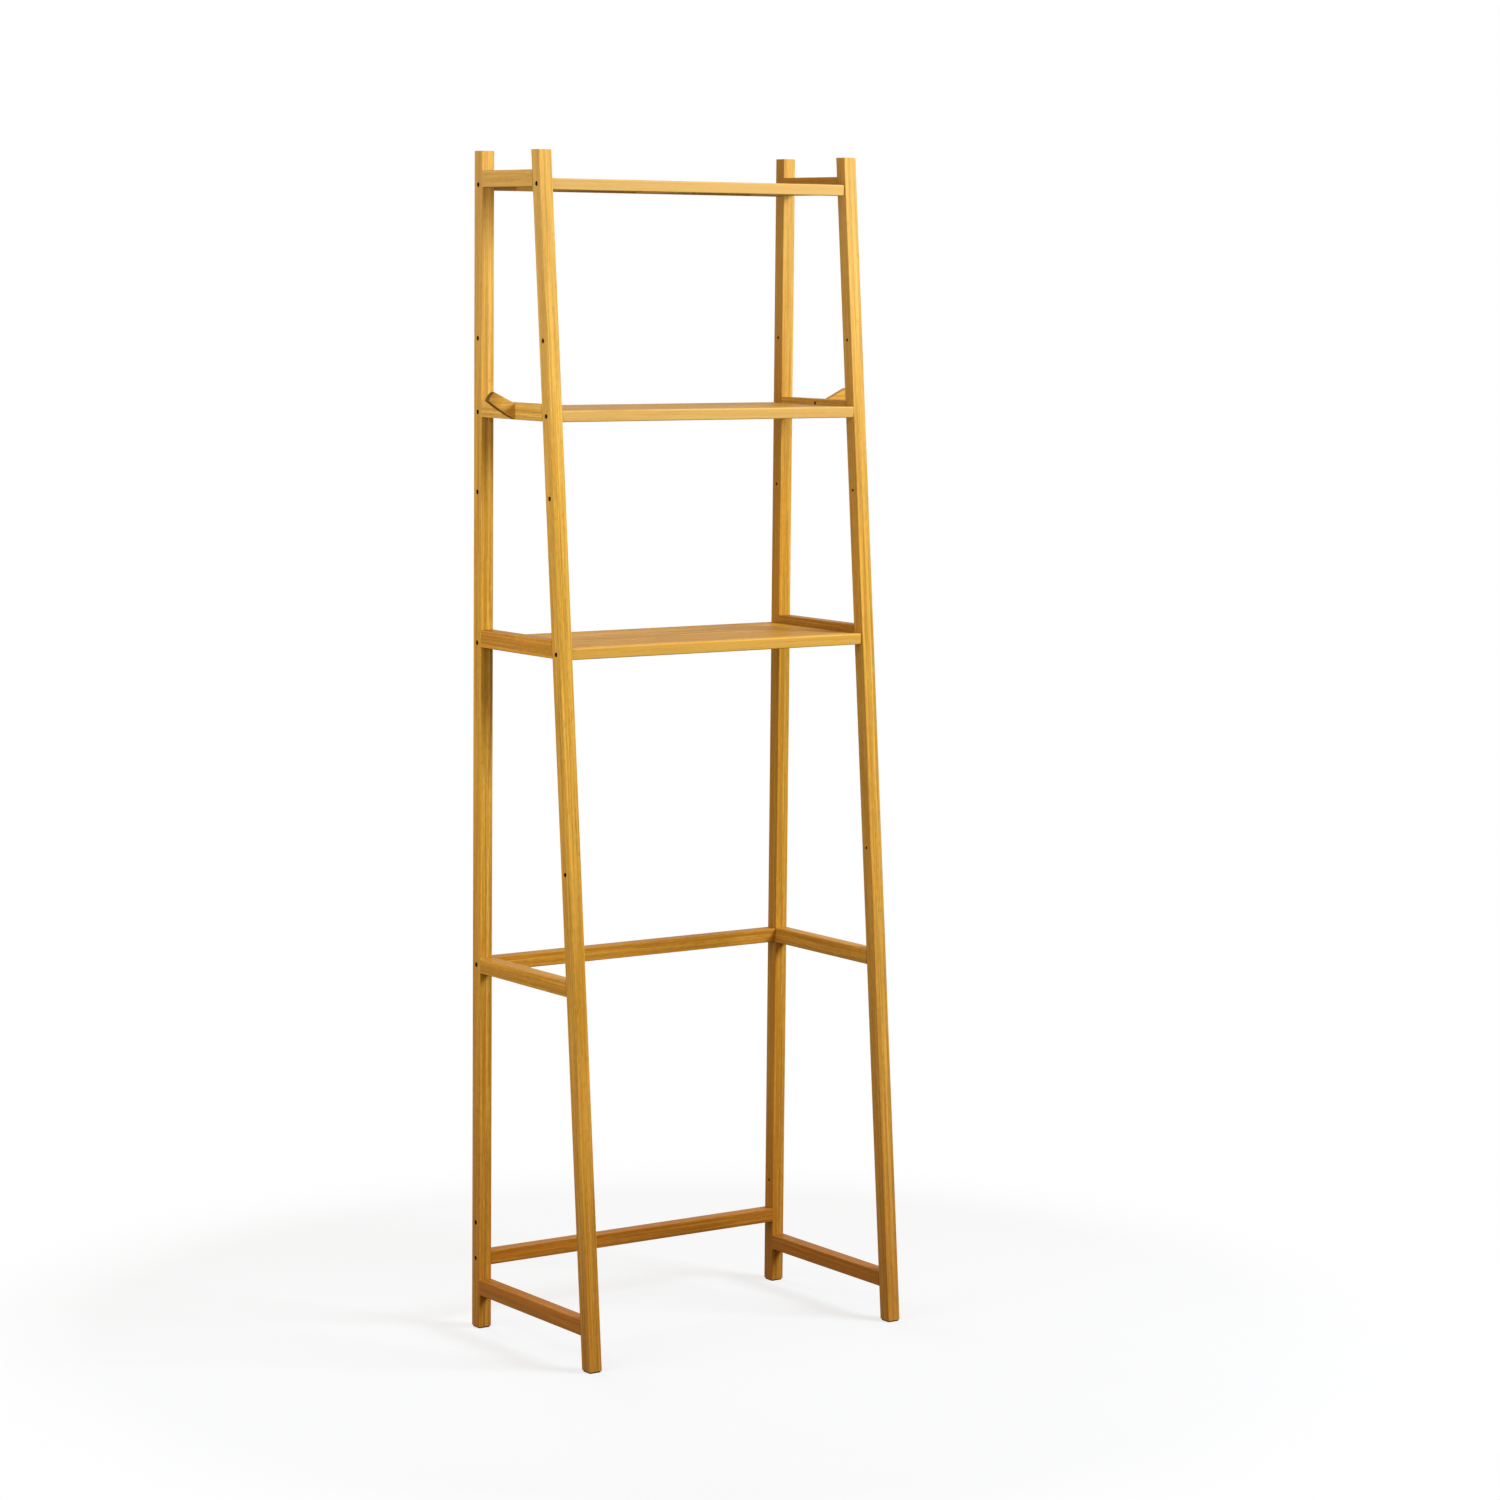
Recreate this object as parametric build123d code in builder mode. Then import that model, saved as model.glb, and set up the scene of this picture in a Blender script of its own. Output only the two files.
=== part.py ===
from build123d import *
import os
from math import atan, cos

# Over-the-toilet storage rack in bamboo. Two ladder-like sides carry three slatted shelves,
# two rails tie the back legs together, and each side has a hook beside the middle shelf.
# Millimetres, +Z up, +Y towards the wall, origin on the floor under the middle of the rack.

# The whole rack
overall_height = 1600
overall_width = 512  # over the legs, without the hooks
floor_depth = 299  # over the front and back legs at the floor
top_depth = 161  # over the front and back legs at their tops

# Square bamboo stock of the legs. The rails between them are as thick
stock = 19.5
stock_ease = 1.2  # rounding along the stock's edges
leg_top_ease = 0.8

# Pads under the legs
pad_thickness = 2
pad_inset = 1
pad_corner = 2

# Shelf heights, from the leg tops down to each shelf's top surface
top_deck_drop = 37
middle_deck_drop = 301.5  # below the top shelf
lower_deck_drop = 310  # below the middle shelf

# Side rails beside the shelves: how far they stand above the deck, and their own height
top_lip = 11
middle_lip = 7.7
lower_lip = 10.5
end_rail_height = 22
lower_rail_height = 24

# Side rails and back rails under the shelves, by the height of their middle
tank_rail_level = 504.5
floor_rail_level = 57.5
floor_back_rail_level = 97
low_rail_height = 21
back_rail_height = 19

# Spare holes, measured from the hole in use
spare_rise = 98
spare_drop = 107
back_rail_spare_rise = 50
front_spare_drop = 288  # front legs only, below the lower shelf's hole

# Shelf frames
shelf_rail_height = 15
shelf_rail_depth = 15
flush_rail_depth = 18  # on the middle shelf, whose rails are flush with the legs
shelf_rail_ease = 2
shelf_rail_end_ease = 1.8
flush_rail_end_ease = 0.5
top_slats = 4
middle_slats = 5
lower_slats = 6
slat_gap = 2
slat_thickness = 8
slat_end_gap = 1
slat_ease = 1.2
batten_width = 20
batten_inset = 45  # from the legs' inner faces to the middle of the end battens
batten_ease = 0.8

# Hooks
hook_reach = 41  # from the rail to the lower corner of the tip
hook_rise = 14.5  # tip above the top of its rail
hook_tip = 11.5  # height of the tip's end
hook_tip_lean = 9.5  # from the lower corner of the tip back to the upper one
hook_thickness = 10
hook_belly = 1.2  # bow of the lower edge
hook_nose = 1.2  # bow of the tip's end
hook_root_gap = 0.5  # rail left bare above and below the hook
hook_ease = 1
hook_advance = 4.5  # from the middle of its rail to the front

# Frame screws, through the legs into the ends of the shelf rails and back rails
frame_screw = 4
frame_screw_length = 42
frame_screw_point = 3
frame_screw_tip = 2
frame_head = 6.2
frame_head_height = 3
frame_head_sink = 2.5
hex_socket = 3.4  # across the corners
hex_socket_depth = 1.8
hex_sides = 6

# Small countersunk screws, up through the battens and out through the hook rails
small_screw = 3
small_head = 5
small_screw_point = 2
small_screw_tip = 1.5
countersink_angle = 90
cross_length = 2.8
cross_width = 0.7
cross_depth = 0.8
slat_cover = 3  # wood left above a slat screw's tip
hook_screw_bite = 7
hook_screw_spacing = 8
hook_screw_lift = 1  # of the pair above the middle of the rail

# Dowels
rail_dowel = 6
rail_dowel_bite = 16  # into the side rail
leg_web = 0.8  # wood left between a dowel socket and the screw holes
batten_dowel_wall = 1.5  # wood left above and below a batten's dowel
batten_dowel_bite = 8
dowel_chamfer = 0.5

# Clearances
bore_clearance = 0.2  # on the diameter of a screw hole
head_clearance = 0.3  # on the diameter of a sunk head
dowel_clearance = 0.2  # on the diameter of a socket
end_clearance = 0.4  # past the end of a screw or dowel

LEFT, RIGHT = -1, 1
side_names = {LEFT: "left", RIGHT: "right"}
TO_BACK, TO_FRONT = 1, -1
from_seat = (Align.CENTER, Align.CENTER, Align.MIN)
top_deck = overall_height - top_deck_drop
middle_deck = top_deck - middle_deck_drop
lower_deck = middle_deck - lower_deck_drop
decks = {"top": top_deck, "middle": middle_deck, "lower": lower_deck}
slat_counts = {"top": top_slats, "middle": middle_slats, "lower": lower_slats}
rail_depths = {"top": shelf_rail_depth, "middle": flush_rail_depth, "lower": shelf_rail_depth}
rail_end_eases = {"top": shelf_rail_end_ease, "middle": flush_rail_end_ease, "lower": shelf_rail_end_ease}

lean = (floor_depth - top_depth) / (overall_height - pad_thickness)
leg_run = stock / cos(atan(lean))  # level depth of the leaning front legs
back_axis = floor_depth / 2 - stock / 2
back_leg_front = back_axis - stock / 2
inner_width = overall_width - 2 * stock
frame_bore = frame_screw + bore_clearance
leg_dowel_bite = (stock - frame_bore) / 2 - leg_web
batten_height = shelf_rail_height - slat_thickness
batten_dowel = batten_height - 2 * batten_dowel_wall
slat_screw_bite = slat_thickness - slat_cover
small_cone = (small_head - small_screw) / 2
end_batten_x = inner_width / 2 - batten_inset
batten_places = {"left": -end_batten_x, "middle": 0, "right": end_batten_x}

# Each side rail's bottom and height
side_rails = {
    "top": (top_deck + top_lip - end_rail_height, end_rail_height),
    "middle": (middle_deck + middle_lip - end_rail_height, end_rail_height),
    "lower": (lower_deck + lower_lip - lower_rail_height, lower_rail_height),
    "tank": (tank_rail_level - low_rail_height / 2, low_rail_height),
    "floor": (floor_rail_level - low_rail_height / 2, low_rail_height),
}
back_rails = {"tank": tank_rail_level, "floor": floor_back_rail_level}

shelf_screw_lines = {name: deck - shelf_rail_height / 2 for name, deck in decks.items()}
hook_rail_bottom = side_rails["middle"][0]
hook_rail_top = hook_rail_bottom + end_rail_height
hook_rail_middle = hook_rail_bottom + end_rail_height / 2

os.makedirs("parts", exist_ok=True)


def save(builder, label):
    builder.part.label = label
    export_step(builder.part, f"parts/{label}.step")


def leg_x(side):
    """Middle of a side's stock across the rack."""
    return side * (overall_width - stock) / 2


def outer_x(side):
    return side * overall_width / 2


def inner_x(side):
    return side * inner_width / 2


def front_face(height):
    """Front of the leaning front legs at a height above the floor."""
    return lean * (height - pad_thickness) - floor_depth / 2


def front_leg_back(height):
    return front_face(height) + leg_run


def front_axis(height):
    return front_face(height) + leg_run / 2


def rail_middles():
    return [bottom + height / 2 for bottom, height in side_rails.values()]


# Heights of the screw holes in the legs, spare ones included
middle_line = shelf_screw_lines["middle"]
shelf_hole_heights = [
    *shelf_screw_lines.values(),
    middle_line + spare_rise,
    middle_line - spare_drop,
]
front_hole_heights = [
    *shelf_hole_heights,
    shelf_screw_lines["lower"] - front_spare_drop,
]
back_hole_heights = [
    *shelf_hole_heights,
    *back_rails.values(),
    floor_back_rail_level + back_rail_spare_rise,
]


def drill_screw_holes(side, axis_y, heights):
    """Sunk through-holes from the outer face of a leg, at each height."""
    seats = [Plane((outer_x(side), axis_y(h), h), z_dir=(side, 0, 0)) for h in heights]
    with Locations(*seats):
        CounterBoreHole(
            radius=frame_bore / 2,
            counter_bore_radius=(frame_head + head_clearance) / 2,
            counter_bore_depth=frame_head_sink + frame_head_height,
        )


def drill_dowel_sockets(mouths, bite):
    """Blind sockets from planes that lie a dowel radius outside the wood."""
    with Locations(*mouths):
        Hole(
            radius=(rail_dowel + dowel_clearance) / 2,
            depth=rail_dowel / 2 + bite + end_clearance,
        )


def drill_small_screw_holes(seats):
    """Countersunk holes right through, from planes that point the way the screws go."""
    with Locations(*[Plane(seat.origin, z_dir=-seat.z_dir) for seat in seats]):
        CounterSinkHole(
            radius=(small_screw + bore_clearance) / 2,
            counter_sink_radius=(small_head + head_clearance) / 2,
            counter_sink_angle=countersink_angle,
        )


def drill_small_screw_pilots(mouths, bite):
    """Blind holes for the ends of the small screws."""
    with Locations(*mouths):
        Hole(radius=(small_screw + bore_clearance) / 2, depth=bite + end_clearance)


def back_leg(side):
    with BuildPart() as leg:
        with BuildSketch(Plane.XY.offset(pad_thickness)):
            with Locations((leg_x(side), back_axis)):
                Rectangle(stock, stock)
        extrude(amount=overall_height - pad_thickness)
        fillet(leg.edges().filter_by(Axis.Z), stock_ease)
        fillet(leg.faces().sort_by(Axis.Z)[-1].edges(), leg_top_ease)
        drill_screw_holes(side, lambda height: back_axis, back_hole_heights)
        mouth_y = back_leg_front - rail_dowel / 2
        mouths = [Plane((leg_x(side), mouth_y, h), z_dir=(0, -1, 0)) for h in rail_middles()]
        drill_dowel_sockets(mouths, leg_dowel_bite)
    return leg


def front_leg(side):
    with BuildPart() as leg:
        with BuildSketch(Plane.YZ.offset(leg_x(side) - stock / 2)):
            with BuildLine():
                Polyline(
                    (front_face(pad_thickness), pad_thickness),
                    (front_leg_back(pad_thickness), pad_thickness),
                    (front_leg_back(overall_height), overall_height),
                    (front_face(overall_height), overall_height),
                    close=True,
                )
            make_face()
        extrude(amount=stock)
        fillet(leg.edges().group_by(SortBy.LENGTH)[-1], stock_ease)
        fillet(leg.faces().sort_by(Axis.Z)[-1].edges(), leg_top_ease)
        drill_screw_holes(side, front_axis, front_hole_heights)
        mouths = [
            Plane((leg_x(side), front_leg_back(h) + rail_dowel / 2, h), z_dir=(0, 1, 0))
            for h in rail_middles()
        ]
        drill_dowel_sockets(mouths, leg_dowel_bite)
    return leg


def foot_pad(side, axis_y):
    with BuildPart() as pad:
        with BuildSketch():
            with Locations((leg_x(side), axis_y)):
                RectangleRounded(stock - 2 * pad_inset, stock - 2 * pad_inset, pad_corner)
        extrude(amount=pad_thickness)
    return pad


def hook_y():
    """Near the middle of the rail that carries the hook."""
    return (back_leg_front + front_leg_back(hook_rail_middle)) / 2 - hook_advance


def hook_screw_heights():
    middle = hook_rail_middle + hook_screw_lift
    return [middle - hook_screw_spacing / 2, middle + hook_screw_spacing / 2]


def hook_screw_seats(side):
    """Planes on the rail's inner face, pointing out through the rail into the hook."""
    return [Plane((inner_x(side), hook_y(), h), z_dir=(side, 0, 0)) for h in hook_screw_heights()]


def side_rail(side, name):
    bottom, height = side_rails[name]
    top = bottom + height
    middle = bottom + height / 2
    with BuildPart() as rail:
        with BuildSketch(Plane.YZ.offset(leg_x(side) - stock / 2)):
            with BuildLine():
                Polyline(
                    (back_leg_front, bottom),
                    (back_leg_front, top),
                    (front_leg_back(top), top),
                    (front_leg_back(bottom), bottom),
                    close=True,
                )
            make_face()
        extrude(amount=stock)
        fillet(rail.edges().filter_by(Axis.Y), stock_ease)
        back_mouth = Plane((leg_x(side), back_leg_front + rail_dowel / 2, middle), z_dir=(0, 1, 0))
        front_mouth = Plane(
            (leg_x(side), front_leg_back(middle) - rail_dowel / 2, middle), z_dir=(0, -1, 0)
        )
        drill_dowel_sockets([back_mouth, front_mouth], rail_dowel_bite)
        if name == "middle":
            drill_small_screw_holes(hook_screw_seats(side))
    return rail


def back_rail(level):
    with BuildPart() as rail:
        with BuildSketch(Plane.YZ.offset(-inner_width / 2)):
            with Locations((back_axis, level)):
                Rectangle(stock, back_rail_height)
        extrude(amount=inner_width)
        fillet(rail.edges().filter_by(Axis.X), stock_ease)
        drill_end_bores(back_axis, level)
    return rail


def drill_end_bores(axis_y, height):
    """Screw holes in both ends of a rail that runs across the rack."""
    depth = frame_screw_length - (stock - frame_head_sink) + end_clearance
    ends = [Plane((inner_x(side), axis_y, height), z_dir=(side, 0, 0)) for side in side_names]
    with Locations(*ends):
        Hole(radius=frame_bore / 2, depth=depth)


def drill_batten_sockets(mouths):
    """Blind sockets for the dowels between a batten and a shelf rail."""
    with Locations(*mouths):
        Hole(
            radius=(batten_dowel + dowel_clearance) / 2,
            depth=batten_dowel_bite + end_clearance,
        )


def shelf_rail_piece(shelf, axis_y, inward):
    """Front or back rail of a shelf. Inward is the way to the other rail."""
    line = shelf_screw_lines[shelf]
    with BuildPart() as rail:
        with BuildSketch(Plane.YZ.offset(-inner_width / 2)):
            with Locations((axis_y, line)):
                Rectangle(rail_depths[shelf], shelf_rail_height)
        extrude(amount=inner_width)
        fillet(rail.edges().filter_by(Axis.X), shelf_rail_ease)
        end_faces = rail.faces().filter_by(Axis.X)
        fillet(end_faces.edges(), rail_end_eases[shelf])
        drill_end_bores(axis_y, line)
        mouth_y = axis_y + inward * rail_depths[shelf] / 2
        drill_batten_sockets(batten_mouths(shelf, mouth_y, inward))
    return rail


def batten_mouths(shelf, mouth_y, facing):
    """Planes where the battens meet a shelf rail."""
    height = decks[shelf] - shelf_rail_height + batten_height / 2
    return [Plane((x, mouth_y, height), z_dir=(0, facing, 0)) for x in batten_places.values()]


def shelf_front_axis(shelf):
    """Middle of a shelf's front rail, between the front legs."""
    return front_axis(shelf_screw_lines[shelf])


def slat_width(shelf):
    """Slats fill the room between a shelf's two rails, with a gap on both sides of each."""
    room = back_axis - shelf_front_axis(shelf) - rail_depths[shelf]
    return (room - slat_gap) / slat_counts[shelf] - slat_gap


def slat_middles(shelf):
    pitch = slat_width(shelf) + slat_gap
    first = shelf_front_axis(shelf) + (rail_depths[shelf] + slat_gap + pitch) / 2
    return [first + index * pitch for index in range(slat_counts[shelf])]


def slat_screw_seats(shelf, x):
    """Planes on the underside of a batten, pointing up into the slats."""
    underside = decks[shelf] - shelf_rail_height
    return [Plane((x, y, underside), z_dir=(0, 0, 1)) for y in slat_middles(shelf)]


def batten(shelf, x):
    deck = decks[shelf]
    front_end = shelf_front_axis(shelf) + rail_depths[shelf] / 2
    back_end = back_axis - rail_depths[shelf] / 2
    with BuildPart() as bar:
        with BuildSketch(Plane.XY.offset(deck - shelf_rail_height)):
            with Locations((x, (front_end + back_end) / 2)):
                Rectangle(batten_width, back_end - front_end)
        extrude(amount=batten_height)
        fillet(bar.edges().filter_by(Axis.Y), batten_ease)
        height = deck - shelf_rail_height + batten_height / 2
        mouths = [
            Plane((x, front_end, height), z_dir=(0, -1, 0)),
            Plane((x, back_end, height), z_dir=(0, 1, 0)),
        ]
        drill_batten_sockets(mouths)
        drill_small_screw_holes(slat_screw_seats(shelf, x))
    return bar


def slat(shelf, middle_y):
    length = inner_width - 2 * slat_end_gap
    underside = decks[shelf] - slat_thickness
    with BuildPart() as board:
        with BuildSketch(Plane.XY.offset(underside)):
            with Locations((0, middle_y)):
                Rectangle(length, slat_width(shelf))
        extrude(amount=slat_thickness)
        fillet(board.edges().filter_by(Axis.X), slat_ease)
        pilots = [Plane((x, middle_y, underside), z_dir=(0, 0, -1)) for x in batten_places.values()]
        drill_small_screw_pilots(pilots, slat_screw_bite)
    return board


def hook(side):
    """Horn-shaped hook, flat against the outer face of its rail."""
    root_top = hook_rail_top - hook_root_gap
    root_bottom = hook_rail_bottom + hook_root_gap
    tip = (hook_reach - hook_tip_lean, hook_rail_top + hook_rise)
    chin = (hook_reach, hook_rail_top + hook_rise - hook_tip)
    plane = Plane((outer_x(side), hook_y(), 0), x_dir=(side, 0, 0), z_dir=(0, -side, 0))
    with BuildPart() as horn:
        with BuildSketch(plane):
            with BuildLine():
                Line((0, root_bottom), (0, root_top))
                Line((0, root_top), tip)
                SagittaArc(tip, chin, hook_nose)
                SagittaArc(chin, (0, root_bottom), hook_belly)
            make_face()
        extrude(amount=hook_thickness / 2, both=True)
        root = horn.faces().filter_by(Axis.X).sort_by_distance((0, 0, 0))[0]
        rims = horn.faces().filter_by(Axis.Y).edges() - root.edges()
        fillet(rims, hook_ease)
        pilots = [
            Plane((outer_x(side), hook_y(), height), z_dir=(-side, 0, 0))
            for height in hook_screw_heights()
        ]
        drill_small_screw_pilots(pilots, hook_screw_bite)
    return horn


def frame_screws(seats):
    """Hex-socket screws. Each seat lies on a leg's outer face and points into the wood."""
    heads = [seat.offset(frame_head_sink) for seat in seats]
    shanks = [head.offset(frame_head_height) for head in heads]
    straight = frame_screw_length - frame_head_height - frame_screw_point
    with BuildPart() as screws:
        with BuildSketch(*heads):
            Circle(frame_head / 2)
        extrude(amount=frame_head_height)
        with BuildSketch(*shanks):
            Circle(frame_screw / 2)
        extrude(amount=straight)
        with Locations(*[shank.offset(straight) for shank in shanks]):
            Cone(frame_screw / 2, frame_screw_tip / 2, frame_screw_point, align=from_seat)
        with BuildSketch(*heads):
            RegularPolygon(hex_socket / 2, hex_sides)
        extrude(amount=hex_socket_depth, mode=Mode.SUBTRACT)
    return screws


def small_screws(seats, length):
    """Countersunk cross-head screws, flush with the seats and pointing along them."""
    straight = length - small_cone - small_screw_point
    with BuildPart() as screws:
        with Locations(*seats):
            Cone(small_head / 2, small_screw / 2, small_cone, align=from_seat)
        with Locations(*[seat.offset(small_cone) for seat in seats]):
            Cylinder(small_screw / 2, straight, align=from_seat)
        with Locations(*[seat.offset(small_cone + straight) for seat in seats]):
            Cone(small_screw / 2, small_screw_tip / 2, small_screw_point, align=from_seat)
        with BuildSketch(*seats):
            Rectangle(cross_length, cross_width)
            Rectangle(cross_width, cross_length)
        extrude(amount=cross_depth, mode=Mode.SUBTRACT)
    return screws


def dowels(starts, diameter, length):
    """Plain dowels with bevelled ends, from each start plane along its normal."""
    with BuildPart() as pins:
        with BuildSketch(*starts):
            Circle(diameter / 2)
        extrude(amount=length)
        chamfer(pins.edges().filter_by(GeomType.CIRCLE), dowel_chamfer)
    return pins


# Legs, pads and side rails
for side, side_name in side_names.items():
    save(back_leg(side), f"{side_name}_back_leg")
    save(front_leg(side), f"{side_name}_front_leg")
    save(foot_pad(side, back_axis), f"{side_name}_back_foot_pad")
    save(foot_pad(side, front_axis(pad_thickness)), f"{side_name}_front_foot_pad")
    for rail_name in side_rails:
        save(side_rail(side, rail_name), f"{side_name}_{rail_name}_side_rail")
    save(hook(side), f"{side_name}_hook")

# Rails that tie the back legs together
for rail_name, level in back_rails.items():
    save(back_rail(level), f"{rail_name}_back_rail")

# Shelves
for shelf in decks:
    save(shelf_rail_piece(shelf, shelf_front_axis(shelf), TO_BACK), f"{shelf}_shelf_front_rail")
    save(shelf_rail_piece(shelf, back_axis, TO_FRONT), f"{shelf}_shelf_back_rail")
    for place, x in batten_places.items():
        save(batten(shelf, x), f"{shelf}_shelf_{place}_batten")
    for number, middle_y in enumerate(slat_middles(shelf), start=1):
        save(slat(shelf, middle_y), f"{shelf}_shelf_slat_{number}")

# Screws through the legs
shelf_screw_seats = []
back_rail_screw_seats = []
for side in side_names:
    for line in shelf_screw_lines.values():
        for axis_y in (front_axis(line), back_axis):
            shelf_screw_seats.append(Plane((outer_x(side), axis_y, line), z_dir=(-side, 0, 0)))
    for level in back_rails.values():
        back_rail_screw_seats.append(Plane((outer_x(side), back_axis, level), z_dir=(-side, 0, 0)))
save(frame_screws(shelf_screw_seats), "shelf_screws")
save(frame_screws(back_rail_screw_seats), "back_rail_screws")

# Screws up through the battens, and out through the hook rails
batten_screw_seats = []
for shelf in decks:
    for x in batten_places.values():
        batten_screw_seats += slat_screw_seats(shelf, x)
save(small_screws(batten_screw_seats, batten_height + slat_screw_bite), "slat_screws")
all_hook_seats = [seat for side in side_names for seat in hook_screw_seats(side)]
save(small_screws(all_hook_seats, stock + hook_screw_bite), "hook_screws")

# Dowels between the side rails and the legs, and between the battens and the shelf rails
rail_dowel_starts = []
for side in side_names:
    for height in rail_middles():
        back_start = back_leg_front - rail_dowel_bite
        front_start = front_leg_back(height) - leg_dowel_bite
        for start_y in (back_start, front_start):
            rail_dowel_starts.append(Plane((leg_x(side), start_y, height), z_dir=(0, 1, 0)))
save(dowels(rail_dowel_starts, rail_dowel, rail_dowel_bite + leg_dowel_bite), "rail_dowels")

batten_dowel_starts = []
for shelf in decks:
    front_end = shelf_front_axis(shelf) + rail_depths[shelf] / 2
    for mouth_y in (front_end, back_axis - rail_depths[shelf] / 2):
        batten_dowel_starts += batten_mouths(shelf, mouth_y - batten_dowel_bite, TO_BACK)
save(dowels(batten_dowel_starts, batten_dowel, 2 * batten_dowel_bite), "batten_dowels")
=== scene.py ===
from collections import namedtuple
from math import cos, radians, sin

import bpy
from bpy.props import FloatProperty, FloatVectorProperty, IntProperty, PointerProperty
from mathutils import Matrix, Vector


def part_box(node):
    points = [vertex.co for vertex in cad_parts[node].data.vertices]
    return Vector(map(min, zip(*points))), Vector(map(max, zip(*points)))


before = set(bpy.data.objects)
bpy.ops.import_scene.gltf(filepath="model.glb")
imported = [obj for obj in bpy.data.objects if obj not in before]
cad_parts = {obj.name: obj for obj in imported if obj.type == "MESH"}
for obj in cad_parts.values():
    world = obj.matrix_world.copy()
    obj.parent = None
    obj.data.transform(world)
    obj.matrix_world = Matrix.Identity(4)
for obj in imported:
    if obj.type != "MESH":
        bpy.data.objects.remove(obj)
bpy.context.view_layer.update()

bl_info = {
    "name": "Bamboo bathroom rack",
    "version": (1, 0, 0),
    "blender": (4, 5, 0),
    "location": "3D View > Sidebar > Rack",
    "description": "Dresses an over-the-toilet rack in laminated bamboo and sets a plain studio around it",
    "category": "Object",
}

MM = 0.001
SIDES = ("left", "right")
SHELVES = ("top", "middle", "lower")
BATTEN_PLACES = ("left", "middle", "right")
X_AXIS, Y_AXIS, Z_AXIS = Vector((1, 0, 0)), Vector((0, 1, 0)), Vector((0, 0, 1))
WHITE = (1.0, 1.0, 1.0, 1.0)

# A noise: how many times a metre it changes along three axes, and how much finer detail it has
Pattern = namedtuple("Pattern", "rate detail")


def along_fibres(lengthwise, crosswise, detail):
    """A pattern of the bamboo, which changes slowly along the fibres and fast across them."""
    return Pattern((lengthwise, crosswise, crosswise), detail)


# Patterns in the bamboo
FIGURE = along_fibres(2.2, 70, detail=3)
BAND = along_fibres(5, 380, detail=4)
HUE = along_fibres(3, 240, detail=3)
STREAK = along_fibres(4.5, 340, detail=3)
THREAD = along_fibres(9, 700, detail=2)
FLECK = along_fibres(95, 420, detail=3)
FIBRE = along_fibres(30, 1500, detail=2)
BUNDLE = along_fibres(50, 2600, detail=1)
KNUCKLE_SWAY = along_fibres(60, 260, detail=2)

# Pores run the whole length of the fibres
PORE_RATE = (0, 1150, 1150)

# Patterns on the screws, dowels and pads
BLOTCH = Pattern((900, 900, 900), detail=4)
SCRATCH = Pattern((5200, 700, 5200), detail=2)
DOWEL_GRAIN = Pattern((2600, 90, 2600), detail=3)
DOWEL_FLAME = Pattern((400, 25, 400), detail=2)
PEBBLE = Pattern((2400, 2400, 2400), detail=3)
DUST = Pattern((160, 160, 500), detail=3)

# Noise and random draws run from 0 to 1
MIDDLE = 0.5

# How the seed of a piece moves its patterns, and the first seed of each kind of piece
SEED_STEP = Vector((3.71, 1.93, 2.57))
SHADE_STEP, PHASE_STEP, HUE_STEP = 17, 29.5, 41.25
GOLDEN_SHARE = 0.618
LEG_SEED = 1
SIDE_RAIL_SEED = 10
BACK_RAIL_SEED = 24
SHELF_FRONT_SEED = 30
SHELF_BACK_SEED = 35
BATTEN_SEED = 40
SLAT_SEED = 50
HOOK_SEED = 70

# Limits of masks that come from noise
BAND_LIMITS = (0.32, 0.68)
HUE_LIMITS = (0.47, 0.66)
STREAK_LIMITS = (0.53, 0.68)
THREAD_LIMITS = (0.55, 0.70)
BUNDLE_LIMITS = (0.57, 0.72)
PORE_LIMITS = (0.16, 0.34)
JOINT_LIMITS = (0.455, 0.5)
BLOTCH_LIMITS = (0.52, 0.72)
SCRATCH_LIMITS = (0.6, 0.75)
DUST_LIMITS = (0.5, 0.75)

# Heights between which painted shade makes the bamboo redder towards the floor and darker at the feet, and a
# painted sheen makes it paler at the top
LOW_SHADE_LIMITS = (0.1, 0.95)
FOOT_LIMITS = (0.02, 0.3)
TOP_SHEEN_LIMITS = (1.0, 1.6)

# How far down a face has to look to be bare wood without lacquer, darkened by painted shade
UNDERSIDE_LIMITS = (0.25, 0.85)

# How squarely a face has to cross the fibres to look sawn
END_CUT = (0.72, 0.95)
# On the hooks, these faces take a dark edge of end grain deepened by painted shade
HOOK_CUT = (0.28, 0.52)

# What each mark adds to the height of the bamboo's surface
FIBRE_RELIEF = 0.5
BUNDLE_RELIEF = -0.22
JOINT_RELIEF = -0.4
KNUCKLE_RELIEF = 0.25
PORE_RELIEF = -0.4

# What each mark adds to the bamboo's roughness, and how much lacquer it takes away
FIBRE_ROUGHNESS = 0.2
EDGE_ROUGHNESS = 0.05
SAWN_ROUGHNESS = 0.15
BARE_ROUGHNESS = 0.4
SAWN_LACQUER_LOSS = 0.6
EDGE_LACQUER_LOSS = 0.25

# How much each pattern counts on the screws and dowels, and how far hardware differs in roughness
BLOTCH_WEAR = 0.5
SCRATCH_WEAR = 0.5
BLOTCH_RELIEF = 0.4
SCRATCH_RELIEF = 0.6
GRAIN_TINT = 0.6
FLAME_TINT = 0.4
HARDWARE_ROUGHNESS_SPREAD = 0.2


def colour(name, description, default):
    return FloatVectorProperty(
        name=name, description=description, default=default, subtype="COLOR", size=3, min=0, max=1)


def length(name, description, default):
    return FloatProperty(name=name, description=description, default=default, subtype="DISTANCE", min=0)


def share(name, description, default):
    return FloatProperty(name=name, description=description, default=default, subtype="FACTOR", min=0, max=1)


def power(name, description, default):
    return FloatProperty(name=name, description=description, default=default, subtype="POWER", min=0)


def angle(name, description, default):
    return FloatProperty(name=name, description=description, default=default, subtype="ANGLE")


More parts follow.
